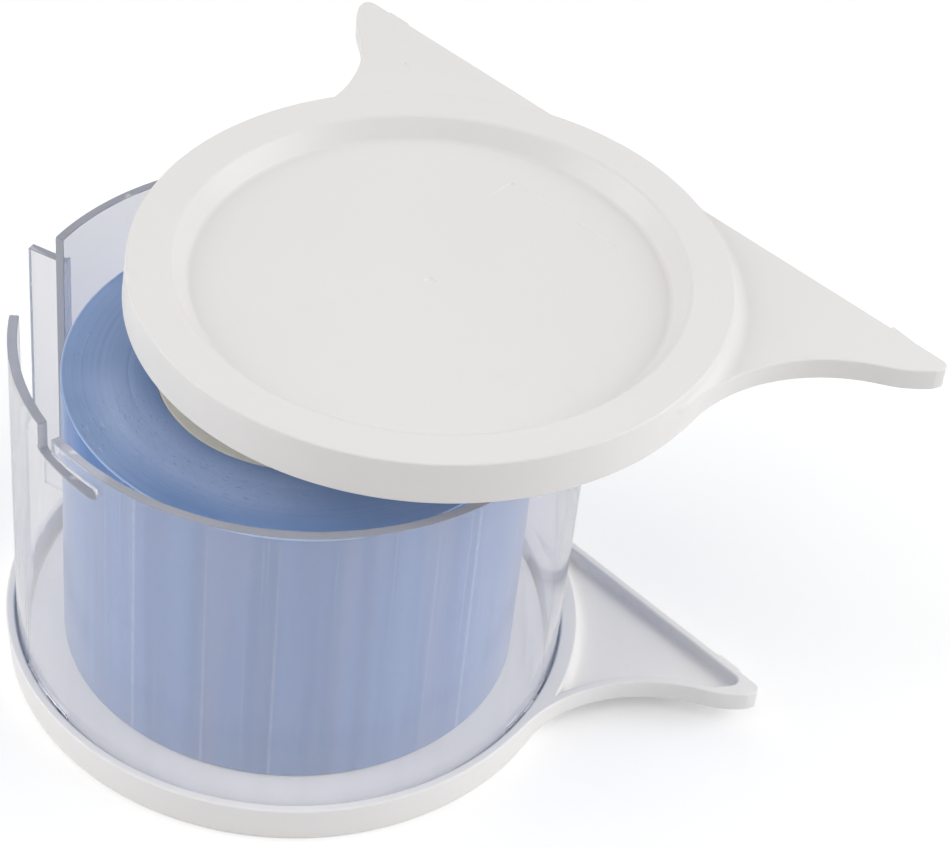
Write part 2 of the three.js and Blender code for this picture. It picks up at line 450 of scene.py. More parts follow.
def ears_outline(draw_in=0.0):
    """Both ears as one closed outline, with the straight edge at the back, or drawn in for the
    trays, whose ends have their own shape."""
    hollow = (PLATE_RADIUS + EAR_HOLLOW_RADIUS) * Vector(
        (math.cos(EAR_HOLLOW_ANGLE), math.sin(EAR_HOLLOW_ANGLE))
    )
    end = math.pi - math.acos((hollow.x - EAR_HOLLOW_END_X) / EAR_HOLLOW_RADIUS)
    bulge = hollow + (EAR_HOLLOW_RADIUS + EAR_BULGE_RADIUS) * Vector((math.cos(end), math.sin(end)))
    edge_y = EAR_EDGE_Y - draw_in
    tip_radius = TRAY_END_RADIUS if draw_in else EAR_TIP_RADIUS
    tip = Vector(((TRAY_END_X if draw_in else EAR_TIP_X) - tip_radius, edge_y - tip_radius))
    tip_turn = TRAY_END_TURN if draw_in else 0
    bulge_end = math.atan2(tip.y - tip_radius - bulge.y, tip.x + tip_radius - bulge.x)
    if draw_in:
        bulge_end = end - math.pi + TRAY_BULGE_TURN
    bulge_steps = TRAY_BULGE_STEPS if draw_in else ARC_STEPS // 2
    right = [] if draw_in else ear_root()
    right += arc(
        hollow, EAR_HOLLOW_RADIUS + draw_in, EAR_HOLLOW_ANGLE + math.pi, end, ARC_STEPS
    )
    right += arc(bulge, EAR_BULGE_RADIUS - draw_in, end - math.pi, bulge_end, bulge_steps)[1:]
    right += arc(tip, tip_radius, tip_turn, math.pi / 2, 3 * ROUND_STEPS)
    left = [Vector((-point.x, point.y)) for point in reversed(right)]
    return right + left


def plate_disc():
    return lathe("plate", [(0, RECESS_DEPTH)] + [tuple(point) for point in rounded([
        (0, RECESS_DEPTH, 0), (PANEL_RADIUS, RECESS_DEPTH, RECESS_ROUND),
        (RING_INNER_RADIUS, 0, RECESS_ROUND), (PLATE_FOOT_RADIUS, 0, RIM_ROUND),
        (PLATE_RADIUS, RIM_HEIGHT, RIM_ROUND), (RIM_INNER_RADIUS, RIM_HEIGHT, RIM_ROUND),
        (RIM_INNER_RADIUS, GROOVE_FLOOR, RIM_ROUND), (GROOVE_INNER_RADIUS, GROOVE_FLOOR, RIM_ROUND),
        (GROOVE_INNER_RADIUS, FLOOR_HEIGHT, RIM_ROUND), (0, FLOOR_HEIGHT, 0),
    ])][1:])


def shoulder():
    """The soft slope between the disc's foot and the outer face of each ear."""
    reach = SHOULDER_RADIUS - PLATE_FOOT_RADIUS
    rise = EAR_OUTER_FACE - SHOULDER_FOOT
    turns = [math.pi / 2 * step / SHOULDER_STEPS for step in range(SHOULDER_STEPS + 1)]
    cove = [(SHOULDER_RADIUS - reach * math.cos(t), SHOULDER_FOOT + rise * math.sin(t)) for t in turns]
    inner = PLATE_FOOT_RADIUS - OVERLAP
    top = EAR_OUTER_FACE + OVERLAP
    outline = [(inner, SHOULDER_FOOT)] + cove + [(SHOULDER_RADIUS, top), (inner, top)]
    ring = lathe("shoulder", outline)
    footprint = stack("footprint", ears_outline(), [(0, 0), (0, RIM_HEIGHT)])
    return combine(ring, footprint, "INTERSECT")


def wedges():
    """The low wedge and the low block on the straight edge, one near each tip."""
    low = EAR_EDGE_Y - 2 * OVERLAP
    wedge = rounded([
        (WEDGE_START_X, low, 0), (WEDGE_START_X + WEDGE_LENGTH, low, 0),
        (WEDGE_START_X + WEDGE_LENGTH, EAR_EDGE_Y - OVERLAP / 4, 0),
        (WEDGE_START_X, EAR_EDGE_Y + WEDGE_HEIGHT, WEDGE_HEIGHT / 4),
    ])
    wedge = [Vector((-point.x, point.y)) for point in reversed(wedge)]
    high = EAR_EDGE_Y + BLOCK_HEIGHT
    block = rounded([
        (BLOCK_START_X, low, 0), (BLOCK_START_X + BLOCK_LENGTH, low, 0),
        (BLOCK_START_X + BLOCK_LENGTH, high, BLOCK_HEIGHT / 3), (BLOCK_START_X, high, BLOCK_HEIGHT / 3),
    ])
    for side in (wedge, block):
        yield stack("wedge", side, soft_levels(
            EAR_OUTER_FACE + WEDGE_DROP, RIM_HEIGHT - WEDGE_DROP, EAR_ROUND / 2
        ))


def tray_cutter():
    """What is hollowed out of the inner side of the ears, clear of the collar round the disc."""
    cutter = stack(
        "tray", ears_outline(TRAY_WALL), cutter_levels(TRAY_FLOOR, RIM_HEIGHT, TRAY_ROUND)
    )
    foot = TRAY_COLLAR_RADIUS + COLLAR_FILLET
    collar = lathe("collar", [(0, 0)] + [tuple(point) for point in rounded([
        (0, 0, 0), (foot + OVERLAP, 0, 0), (foot + OVERLAP, TRAY_FLOOR, 0),
        (TRAY_COLLAR_RADIUS, TRAY_FLOOR, COLLAR_FILLET), (TRAY_COLLAR_RADIUS, RIM_HEIGHT, TRAY_ROUND),
        (TRAY_COLLAR_RADIUS - 2 * TRAY_ROUND, RIM_HEIGHT, 0),
        (TRAY_COLLAR_RADIUS - 2 * TRAY_ROUND, RIM_HEIGHT + 3 * OVERLAP, 0),
        (0, RIM_HEIGHT + 3 * OVERLAP, 0),
    ])][1:])
    return combine(cutter, collar, "DIFFERENCE")


def marks():
    """Cutters for the mould's shallow marks: a blank label panel with a sloping floor, the gate and
    a pin mark."""
    half_x = LABEL_SIZE[0] / 2
    half_y = LABEL_SIZE[1] / 2
    label = rounded([
        (-half_x, -half_y, LABEL_CORNER), (half_x, -half_y, LABEL_CORNER),
        (half_x, half_y, LABEL_CORNER), (-half_x, half_y, LABEL_CORNER),
    ])
    label = stack("label", label, pit_levels(RECESS_DEPTH, LABEL_DEPTH / 2))
    for vertex in label.data.vertices:
        vertex.co.z += LABEL_SLOPE * vertex.co.y
    turn_to(label, LABEL_TURN)
    label.data.transform(Matrix.Translation((*LABEL_PLACE, 0)))
    yield label
    gate = circle(GATE_PLACE, GATE_RADIUS, PIT_SEGMENTS)
    yield stack("gate", gate, pit_levels(RECESS_DEPTH, GATE_DEPTH))
    pin = circle(PIN_MARK_PLACE, PIN_MARK_RADIUS, PIT_SEGMENTS)
    yield stack("pin", pin, pit_levels(EAR_OUTER_FACE, GATE_DEPTH))


def pit_levels(face, depth):
    """Levels of the cutter for a shallow pit in a face that looks down, with sloping sides."""
    return [(-OVERLAP, face - OVERLAP), (depth, face + depth)]


def lug(angle):
    """One bayonet lug on the inside of the rim."""
    low = LUG_INNER_RADIUS
    high = RIM_INNER_RADIUS + OVERLAP
    outline = rounded([
        (low, -LUG_WIDTH / 2, LUG_CORNER), (high, -LUG_WIDTH / 2, 0),
        (high, LUG_WIDTH / 2, 0), (low, LUG_WIDTH / 2, LUG_CORNER),
    ])
    bottom = GROOVE_FLOOR + TUBE_SEAT_GAP + SLOT_INSET + (SLOT_HEIGHT - LUG_HEIGHT) / 2
    return turn_to(stack("lug", outline, soft_levels(bottom, bottom + LUG_HEIGHT, LUG_ROUND)), angle)


def plate_mesh():
    """The mould both plates come from."""
    ears = stack("ears", ears_outline(), soft_levels(EAR_OUTER_FACE, RIM_HEIGHT, EAR_ROUND))
    combine(ears, tray_cutter(), "DIFFERENCE")
    combine(ears, shoulder(), "UNION")
    for wedge in wedges():
        combine(ears, wedge, "UNION")
    space = lathe("space", [
        (0, -OVERLAP), (EAR_ROOT_RADIUS, -OVERLAP),
        (EAR_ROOT_RADIUS, RIM_HEIGHT + OVERLAP), (0, RIM_HEIGHT + OVERLAP),
    ])
    combine(ears, space, "DIFFERENCE")
    plate = plate_disc()
    combine(plate, ears, "UNION")
    for index in range(BAYONET_COUNT):
        combine(plate, lug(LUG_ANGLE + index * 360 / BAYONET_COUNT), "UNION")
    for mark in marks():
        combine(plate, mark, "DIFFERENCE")
    smooth(plate)
    return plate


# ---------------------------------------------------------------- clear parts

def tube_outline(bottom, top):
    """The tube's wall laid flat: (arc length, height) points round its edge and its slots."""
    def at(angle_degrees):
        return math.radians(angle_degrees) * TUBE_RADIUS

    half = ENTRY_WIDTH / 2
    corners = []
    for index in range(BAYONET_COUNT):
        entry = at(BOTTOM_ENTRY + index * 360 / BAYONET_COUNT)
        near = bottom + SLOT_INSET
        far = near + SLOT_HEIGHT
        closed = entry - half - at(SLOT_TRAVEL)
        corners += [
            (entry - half, bottom, ENTRY_CORNER), (entry - half, near, ENTRY_CORNER),
            (closed, near, BOTTOM_SLOT_CORNER), (closed, far, BOTTOM_SLOT_CORNER),
            (entry + half, far, ENTRY_HEEL), (entry + half, bottom, ENTRY_CORNER),
        ]
    corners.insert(0, (at(OPENING_FROM), bottom, OPENING_CORNER))
    corners.append((at(OPENING_TO), bottom, OPENING_CORNER))
    upper = []
    for index in range(BAYONET_COUNT):
        entry = at(TOP_ENTRY + index * 360 / BAYONET_COUNT)
        near = top - SLOT_INSET
        far = near - SLOT_HEIGHT
        closed = entry + half + at(SLOT_TRAVEL)
        upper += [
            (entry - half, top, ENTRY_CORNER), (entry - half, far, ENTRY_HEEL),
            (closed, far, TOP_SLOT_CORNER), (closed, near, TOP_SLOT_CORNER),
            (entry + half, near, ENTRY_CORNER), (entry + half, top, ENTRY_CORNER),
        ]
    upper.insert(0, (at(OPENING_FROM), top, OPENING_CORNER))
    upper.append((at(OPENING_TO), top, OPENING_CORNER))
    return rounded(corners + upper[::-1], steps=SLOT_CORNER_STEPS)


def clear_tube():
    low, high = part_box("shroud_tube")
    outline = tube_outline(low.z, high.z)
    levels = soft_levels(0, TUBE_WALL, TUBE_EDGE, TUBE_EDGE_STEPS)
    flat = stack("tube_shell", outline, levels)
    mesh = bmesh.new()
    mesh.from_mesh(flat.data)
    bmesh.ops.triangulate(mesh, faces=[face for face in mesh.faces if len(face.verts) > 4])
    step = 2 * math.pi * TUBE_RADIUS / ROUND_SEGMENTS
    first = math.radians(OPENING_FROM) * TUBE_RADIUS
    last = math.radians(OPENING_TO) * TUBE_RADIUS
    for index in range(1, int((last - first) / step)):
        bmesh.ops.bisect_plane(
            mesh, geom=mesh.verts[:] + mesh.edges[:] + mesh.faces[:], dist=CUT_DISTANCE,
            plane_co=(first + index * step, 0, 0), plane_no=(1, 0, 0),
        )
    for vertex in mesh.verts:
        angle = vertex.co.x / TUBE_RADIUS
        radius = TUBE_RADIUS - TUBE_WALL + vertex.co.z
        vertex.co = (radius * math.cos(angle), radius * math.sin(angle), vertex.co.y)
    bmesh.ops.recalc_face_normals(mesh, faces=mesh.faces)
    mesh.to_mesh(flat.data)
    mesh.free()
    smooth(flat, THIN_SHARP_ANGLE)
    return flat


def guide_strip():
    """A flat blade standing out from the tube, with a small bead of cement along its foot."""
    low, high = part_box("film_guide_strip")
    half = STRIP_THICKNESS / 2
    foot = TUBE_RADIUS + STRIP_GAP
    side = half + BEAD_WIDTH
    lip = foot + BEAD_WIDTH / 3
    top = foot + BEAD_WIDTH
    outline = rounded([
        (foot, -side, 0), (lip, -side, BEAD_ROUND), (top, -half, STRIP_CORNER),
        (STRIP_OUTER_RADIUS, -half, STRIP_CORNER), (STRIP_OUTER_RADIUS, half, STRIP_CORNER),
        (top, half, STRIP_CORNER), (lip, side, BEAD_ROUND), (foot, side, 0),
    ])
    blade = stack("guide_blade", outline, soft_levels(low.z, high.z, STRIP_ROUND))
    turn_to(blade, STRIP_ANGLE)
    smooth(blade, THIN_SHARP_ANGLE)
    return blade


# ---------------------------------------------------------------- roll, core and hubs

def film_roll():
    """The wound film, with its ends stepped where turns have crept."""
    low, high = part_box("film_roll")
    outer = (high.x - low.x) / 2
    inner = CORE_OUTER_RADIUS + WINDING_GAP
    radii = np.sort(rng.uniform(inner + CREEP_INNER_MARGIN, outer - CREEP_OUTER_MARGIN, CREEP_COUNT))
    creep = rng.uniform(0, CREEP_HEIGHT, radii.size + 1)
    end = [(inner, creep[0])]
    for index, radius in enumerate(radii):
        end += [(radius - CREEP_WIDTH, creep[index]), (radius + CREEP_WIDTH, creep[index + 1])]
    turns = [math.pi / 2 * step / ROUND_STEPS for step in range(ROUND_STEPS + 1)]
    edge = [
        (outer - ROLL_CORNER * (1 - math.sin(turn)), ROLL_CORNER * (1 - math.cos(turn)))
        for turn in turns
    ]
    bottom = [(radius, low.z + rise) for radius, rise in end + edge]
    top = [(radius, high.z - rise) for radius, rise in reversed(end + edge)]
    roll = lathe("film_winding", bottom + top)
    smooth(roll, ROLL_SHARP_ANGLE)
    return roll


def card_core():
    low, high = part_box("roll_core")
    core = lathe("card_core", [tuple(point) for point in rounded([
        (CORE_INNER_RADIUS, low.z, CORE_CORNER), (CORE_OUTER_RADIUS, low.z, CORE_CORNER),
        (CORE_OUTER_RADIUS, high.z, CORE_CORNER), (CORE_INNER_RADIUS, high.z, CORE_CORNER),
    ])])
    smooth(core, THIN_SHARP_ANGLE)
    return core


def hub_cup():
    """One hub in its plate's frame: a cup with three crush ribs that grip the core."""
    bottom = FLOOR_HEIGHT + BOND_GAP
    top = FLOOR_HEIGHT + HUB_HEIGHT
    wall = HUB_RADIUS - HUB_WALL
    cup = lathe("hub_cup", [(0, bottom)] + [tuple(point) for point in rounded([
        (0, bottom, 0), (HUB_RADIUS, bottom, HUB_FOOT_CORNER), (HUB_RADIUS, top, HUB_LIP_CORNER),
        (wall, top, HUB_LIP_CORNER), (wall, bottom + HUB_FLOOR, HUB_INNER_CORNER),
        (0, bottom + HUB_FLOOR, 0),
    ])][1:])
    foot = HUB_RADIUS - OVERLAP
    crest = HUB_RADIUS + RIB_HEIGHT
    for index in range(RIB_COUNT):
        outline = rounded([
            (foot, -RIB_FOOT_WIDTH / 2, 0), (crest, -RIB_CREST_WIDTH / 2, RIB_ROUND),
            (crest, RIB_CREST_WIDTH / 2, RIB_ROUND), (foot, RIB_FOOT_WIDTH / 2, 0),
        ])
        levels = soft_levels(bottom + RIB_START, top - RIB_END, RIB_ROUND)
        rib = stack("rib", outline, levels)
        combine(cup, turn_to(rib, RIB_ANGLE + index * 360 / RIB_COUNT), "UNION")
    smooth(cup)
    return cup


# ---------------------------------------------------------------- materials

class Nodes:
    """A material and short ways to add and join its nodes."""

    def __init__(self, name):
        self.material = bpy.data.materials.new(name)
        self.material.use_nodes = True
        self.tree = self.material.node_tree
        self.shader = self.tree.nodes["Principled BSDF"]
        self.place = self.add("ShaderNodeTexCoord").outputs["Object"]

    def add(self, kind, **settings):
        node = self.tree.nodes.new(kind)
        for name, value in settings.items():
            setattr(node, name, value)
        return node

    def link(self, source, target):
        self.tree.links.new(source, target)

    def fill(self, sockets, values):
        """Gives each socket its number or colour, or joins another node's output to it."""
        for socket, value in zip(sockets, values):
            if isinstance(value, tuple):
                socket.default_value = (*value, 1)
            elif isinstance(value, (int, float)):
                socket.default_value = value
            else:
                self.link(value, socket)

    def math(self, operation, first, second=0.0):
        node = self.add("ShaderNodeMath", operation=operation)
        self.fill(node.inputs, (first, second))
        return node.outputs[0]

    def scaled(self, scale):
        node = self.add("ShaderNodeMapping")
        self.link(self.place, node.inputs["Vector"])
        node.inputs["Scale"].default_value = scale
        return node.outputs[0]

    def noise(self, scale, detail, place=None):
        node = self.add("ShaderNodeTexNoise")
        self.link(place or self.place, node.inputs["Vector"])
        node.inputs["Scale"].default_value = scale
        node.inputs["Detail"].default_value = detail
        return node.outputs["Fac"]

    def ramp(self, source, low, high, low_value=0.0, high_value=1.0):
        node = self.add("ShaderNodeMapRange")
        node.interpolation_type = "SMOOTHSTEP"
        self.link(source, node.inputs["Value"])
        for name, value in zip(
            ("From Min", "From Max", "To Min", "To Max"), (low, high, low_value, high_value)
        ):
            node.inputs[name].default_value = value
        return node.outputs["Result"]

    def mix(self, factor, first, second):
        node = self.add("ShaderNodeMix", data_type="RGBA")
        self.fill((node.inputs[0], node.inputs[6], node.inputs[7]), (factor, first, second))
        return node.outputs[2]

    def bump(self, height, strength, distance, after=None):
        node = self.add("ShaderNodeBump")
        self.link(height, node.inputs["Height"])
        node.inputs["Strength"].default_value = strength
        node.inputs["Distance"].default_value = distance
        if after is not None:
            self.link(after, node.inputs["Normal"])
        return node.outputs["Normal"]

    def cylinder(self):
        """(turn from 0 to 1, radius, height) about the object's own Z axis."""
        split = self.add("ShaderNodeSeparateXYZ")
        self.link(self.place, split.inputs[0])
        x, y, z = split.outputs
        turn = self.math("DIVIDE", self.math("ARCTAN2", y, x), 2 * math.pi)
        square = self.math("ADD", self.math("MULTIPLY", x, x), self.math("MULTIPLY", y, y))
        radius = self.math("SQRT", square)
        return turn, radius, z

    def joined(self, x, y, z):
        node = self.add("ShaderNodeCombineXYZ")
        self.fill(node.inputs, (x, y, z))
        return node.outputs[0]

    def finish(self, colour, roughness, normal):
        self.link(colour, self.shader.inputs["Base Color"])
        self.link(roughness, self.shader.inputs["Roughness"])
        self.link(normal, self.shader.inputs["Normal"])
        return self.material


def white_plastic(name, tone):
    """Satin moulding plastic in one plate's tone. The tones are painted light and shade: one plastic,
    lighter on the base and darker on the lid.
    """
    nodes = Nodes(name)
    cloud = nodes.noise(18, 2)
    grain = nodes.noise(2600, 2)
    smudge = nodes.ramp(nodes.noise(45, 5), 0.52, 0.78)
    low = tuple(CLOUD_SHARE * tone * level for level in PLASTIC_HUE)
    high = tuple(tone * level for level in PLASTIC_HUE)
    colour = nodes.mix(cloud, low, high)
    scuff = nodes.ramp(nodes.noise(90, 6), 0.60, 0.80, 0, 0.5)
    colour = nodes.mix(scuff, colour, tuple(SCUFF_SHARE * tone * level for level in PLASTIC_HUE))
    roughness = nodes.math("ADD", nodes.math("MULTIPLY", smudge, 0.10), 0.36)
    normal = nodes.bump(grain, 0.10, 0.0001)
    normal = nodes.bump(nodes.noise(160, 3), 0.04, 0.0004, normal)
    nodes.shader.inputs["IOR"].default_value = PLASTIC_IOR
    return nodes.finish(colour, roughness, normal)


def clear_acrylic():
    """Polished sheet with a faint haze in streaks."""
    nodes = Nodes("clear_acrylic")
    turn, _, height = nodes.cylinder()
    streaks = nodes.joined(nodes.math("MULTIPLY", turn, 90), 0, nodes.math("MULTIPLY", height, 3))
    streaks = nodes.noise(1, 4, streaks)
    haze = nodes.ramp(streaks, 0.45, 0.75)
    colour = nodes.mix(haze, ACRYLIC_CLEAR, ACRYLIC_HAZE)
    roughness = nodes.math("ADD", nodes.math("MULTIPLY", haze, 0.02), 0.005)
    normal = nodes.bump(nodes.noise(25, 1), 0.01, 0.0002)
    nodes.shader.inputs["Transmission Weight"].default_value = 0.88
    nodes.shader.inputs["IOR"].default_value = PLASTIC_IOR
    material = nodes.finish(colour, roughness, normal)
    lit_through(nodes, ACRYLIC_TINT)
    return material


def lit_through(nodes, tint):
    """Lets direct and scattered light through a clear material, dimmed by its tint."""
    passing = nodes.add("ShaderNodeBsdfTransparent")
    passing.inputs["Color"].default_value = (*tint, 1)
    path = nodes.add("ShaderNodeLightPath")
    surface = nodes.shader.outputs[0]
    for ray in ("Is Diffuse Ray", "Is Shadow Ray"):
        choice = nodes.add("ShaderNodeMixShader")
        nodes.link(path.outputs[ray], choice.inputs[0])
        nodes.link(surface, choice.inputs[1])
        nodes.link(passing.outputs[0], choice.inputs[2])
        surface = choice.outputs[0]
    nodes.link(surface, nodes.tree.nodes["Material Output"].inputs["Surface"])


def acrylic_edge():
    """The sawn and flame-polished edges, which look grey beside the clear faces. Their pointed corners
    carry a painted highlight, and their upright faces are painted lighter than the level ones.
    """
    nodes = Nodes("acrylic_cut_edge")
    saw = nodes.noise(1, 3, nodes.scaled((1600, 1600, 300)))
    cloud = nodes.noise(60, 3)
    facing = nodes.add("ShaderNodeSeparateXYZ")
    nodes.link(nodes.add("ShaderNodeNewGeometry").outputs["True Normal"], facing.inputs[0])
    # Upright cut faces are painted lighter than level ones: painted light by the way a face points.
    level = nodes.ramp(nodes.math("ABSOLUTE", facing.outputs["Z"]), 0.3, 0.7)
    colour = nodes.mix(cloud, EDGE_DARK, EDGE_LIGHT)
    colour = nodes.mix(level, EDGE_UPRIGHT_PAINTED_LIGHTER, colour)
    # Bright lines along the pointed corners: a painted highlight.
    corner = nodes.add("ShaderNodeNewGeometry").outputs["Pointiness"]
    colour = nodes.mix(nodes.ramp(corner, 0.54, 0.60), colour, EDGE_PAINTED_HIGHLIGHT)
    roughness = nodes.math("ADD", nodes.math("MULTIPLY", saw, 0.12), 0.16)
    normal = nodes.bump(saw, 0.03, 0.0001)
    nodes.shader.inputs["IOR"].default_value = PLASTIC_IOR
    nodes.shader.inputs["Transmission Weight"].default_value = 0.55
    return nodes.finish(colour, roughness, normal)


def blue_film():
    """The roll's side: soft bands, fine streaks and a few thin broken lines, all along the axis."""
    nodes = Nodes("blue_film_side")
    turn, _, height = nodes.cylinder()
    rise = nodes.math("MULTIPLY", height, 3)
    bands = nodes.noise(1, 3, nodes.joined(nodes.math("MULTIPLY", turn, 60), 0, rise))
    pale = nodes.noise(1, 3, nodes.joined(nodes.math("MULTIPLY", turn, 38), 7, rise))
    fine = nodes.noise(1, 3, nodes.joined(nodes.math("MULTIPLY", turn, 420), 0, rise))
    colour = nodes.mix(nodes.ramp(bands, 0.38, 0.62), SIDE_DARK, SIDE_LIGHT)
    colour = nodes.mix(nodes.ramp(pale, 0.50, 0.66, 0, 0.50), colour, SIDE_GREY)
    colour = nodes.mix(nodes.ramp(fine, 0.60, 0.72, 0, 0.55), colour, SIDE_STREAK)
    lines = nodes.noise(1, 0, nodes.joined(nodes.math("MULTIPLY", turn, 130), 3, height))
    breaks = nodes.noise(1, 1, nodes.joined(0, 0, nodes.math("MULTIPLY", height, 260)))
    breaks = nodes.ramp(breaks, 0.40, 0.60, 0.2, 0.5)
    lines = nodes.math("MULTIPLY", nodes.ramp(lines, 0.68, 0.75), breaks)
    colour = nodes.mix(lines, colour, SIDE_LINE)
    roughness = nodes.math("ADD", nodes.math("MULTIPLY", bands, 0.20), 0.22)
    normal = nodes.bump(fine, 0.02, 0.0002)
    nodes.shader.inputs["Coat Weight"].default_value = 0.4
    nodes.shader.inputs["Coat Roughness"].default_value = 0.18
    return nodes.finish(colour, roughness, normal)


def blue_film_end():
    """The roll's ends: fine rings, short dark strokes of painted shadow between the turns, painted
    glints in patches, a patch of painted sheen on one side, and a pale outer rim.
    """
    nodes = Nodes("blue_film_end")
    turn, radius, _ = nodes.cylinder()
    rings = nodes.noise(1, 4, nodes.joined(nodes.math("MULTIPLY", radius, 900), 0, 0))
    turn_gaps = nodes.joined(nodes.math("MULTIPLY", turn, 130), nodes.math("MULTIPLY", radius, 2200), 0)
    turn_gaps = nodes.noise(1, 2, turn_gaps)
    glints = nodes.joined(nodes.math("MULTIPLY", turn, 90), nodes.math("MULTIPLY", radius, 1500), 5)
    glints = nodes.noise(1, 2, glints)
    cloud = nodes.noise(40, 4)
    patches = nodes.ramp(nodes.noise(55, 3), 0.50, 0.66)
    colour = nodes.mix(nodes.ramp(cloud, 0.3, 0.7), END_DARK, END_LIGHT)
    colour = nodes.mix(nodes.ramp(rings, 0.35, 0.75, 0, 0.25), colour, END_RING)
    # A paler patch on one side of the end: painted sheen, not a colour of the film. It also gathers the
    # painted glints.
    around = nodes.math("ADD", turn, SHEEN_PATCH_TURN)
    along = nodes.ramp(nodes.math("COSINE", nodes.math("MULTIPLY", around, 2 * math.pi)), 0.55, 0.99)
    across = nodes.math("ABSOLUTE", nodes.math("SUBTRACT", radius, SHEEN_PATCH_RADIUS))
    pale = nodes.math("MULTIPLY", along, nodes.ramp(across, SHEEN_PATCH_FULL_WIDTH, SHEEN_PATCH_FADED_WIDTH, 1, 0))
    colour = nodes.mix(nodes.math("MULTIPLY", pale, 0.75), colour, END_PAINTED_SHEEN)
    patches = nodes.math("MAXIMUM", patches, nodes.math("MULTIPLY", pale, 0.8))
    glint = nodes.math("MULTIPLY", nodes.ramp(glints, 0.60, 0.72), patches)
    colour = nodes.mix(nodes.math("MULTIPLY", glint, 0.5), colour, END_GLINT)
    # Short dark dashes along the turns: painted shadow in the gaps between turns. The same noise also
    # gives their bump.
    gap_shadow = nodes.math("MULTIPLY", nodes.ramp(turn_gaps, 0.62, 0.70), patches)
    colour = nodes.mix(nodes.math("MULTIPLY", gap_shadow, 0.75), colour, END_GAP_SHADOW)
    rim = nodes.ramp(radius, END_RIM_FROM, END_RIM_TO, 0, 0.7)
    colour = nodes.mix(rim, colour, END_RIM)
    roughness = nodes.math("ADD", nodes.math("MULTIPLY", rings, 0.20), 0.26)
    normal = nodes.bump(rings, 0.12, 0.0001)
    normal = nodes.bump(turn_gaps, 0.12, 0.0001, normal)
    nodes.shader.inputs["Coat Weight"].default_value = 1.0
    nodes.shader.inputs["Coat Roughness"].default_value = 0.28
    return nodes.finish(colour, roughness, normal)


def core_board():
    """Matte card with its plies in the ends and a spiral seam round the bore."""
    nodes = Nodes("core_board")
    turn, radius, height = nodes.cylinder()
    plies = nodes.noise(1, 2, nodes.joined(nodes.math("MULTIPLY", radius, 2600), 0, 0))
    fibre = nodes.noise(700, 5)
    helix = nodes.math("FRACT", nodes.math("ADD", turn, nodes.math("DIVIDE", height, SEAM_PITCH)))
    seam = nodes.ramp(helix, 0.0, SEAM_SHARE)
    colour = nodes.mix(fibre, CARD_DARK, CARD_LIGHT)
    colour = nodes.mix(nodes.ramp(plies, 0.4, 0.7, 0, 0.35), colour, CARD_PLY)
    roughness = nodes.math("ADD", nodes.math("MULTIPLY", fibre, 0.12), 0.80)
    normal = nodes.bump(seam, 0.5, 0.0003)
    normal = nodes.bump(fibre, 0.3, 0.0002, normal)
    return nodes.finish(colour, roughness, normal)


def floor_material():
    nodes = Nodes("pale_floor")
    cloud = nodes.noise(3, 3)
    colour = nodes.mix(cloud, (0.90, 0.90, 0.90), (0.92, 0.92, 0.92))
    roughness = nodes.math("ADD", nodes.math("MULTIPLY", cloud, 0.05), 0.80)
    normal = nodes.bump(nodes.noise(400, 2), 0.02, 0.0002)
    nodes.shader.inputs["Specular IOR Level"].default_value = 0.1
    glow = nodes.math("MULTIPLY", nodes.add("ShaderNodeLightPath").outputs["Is Camera Ray"], FLOOR_GLOW)
    nodes.shader.inputs["Emission Color"].default_value = (1, 1, 1, 1)
    nodes.link(glow, nodes.shader.inputs["Emission Strength"])
    return nodes.finish(colour, roughness, normal)


# ---------------------------------------------------------------- scene

def add_camera():
    azimuth, elevation, roll = (
        math.radians(angle) for angle in (CAMERA_AZIMUTH, CAMERA_ELEVATION, CAMERA_ROLL)
    )
    right = Vector((math.cos(azimuth), math.sin(azimuth), 0))
    back = Vector((
        math.sin(azimuth) * math.cos(elevation), -math.cos(azimuth) * math.cos(elevation),
        math.sin(elevation),
    ))
    up = back.cross(right)
    camera_right = math.cos(roll) * right + math.sin(roll) * up
    camera_up = math.cos(roll) * up - math.sin(roll) * right
    data = bpy.data.cameras.new("camera")
    data.lens = CAMERA_LENS
    data.sensor_width = CAMERA_SENSOR
    camera = bpy.data.objects.new("camera", data)
    place = roll_axis + CAMERA_DISTANCE * back + CAMERA_RIGHT * camera_right + CAMERA_UP * camera_up
    turn = Matrix((camera_right, camera_up, back)).transposed().to_4x4()
    camera.matrix_world = Matrix.Translation(place) @ turn
    bpy.context.scene.collection.objects.link(camera)
    bpy.context.scene.camera = camera


def add_light():
    world = bpy.data.worlds.new("studio")
    bpy.context.scene.world = world
    world.use_nodes = True
    tree = world.node_tree
    background = tree.nodes["Background"]
    place = tree.nodes.new("ShaderNodeTexCoord")
    facing = tree.nodes.new("ShaderNodeVectorMath")
    facing.operation = "DOT_PRODUCT"
    azimuth = math.radians(CAMERA_AZIMUTH)
    tree.links.new(place.outputs["Generated"], facing.inputs[0])
    facing.inputs[1].default_value = (math.sin(azimuth), -math.cos(azimuth), 0)
    rise = tree.nodes.new("ShaderNodeMapRange")
    tree.links.new(facing.outputs["Value"], rise.inputs["Value"])
    for name, value in zip(("From Min", "From Max", "To Min", "To Max"), (-1, 1, SKY_BACK, SKY_FRONT)):
        rise.inputs[name].default_value = value
    tree.links.new(rise.outputs["Result"], background.inputs["Strength"])
    background.inputs["Color"].default_value = (1, 1, 1, 1)
    for lamp in LAMPS:
        add_lamp(*lamp)


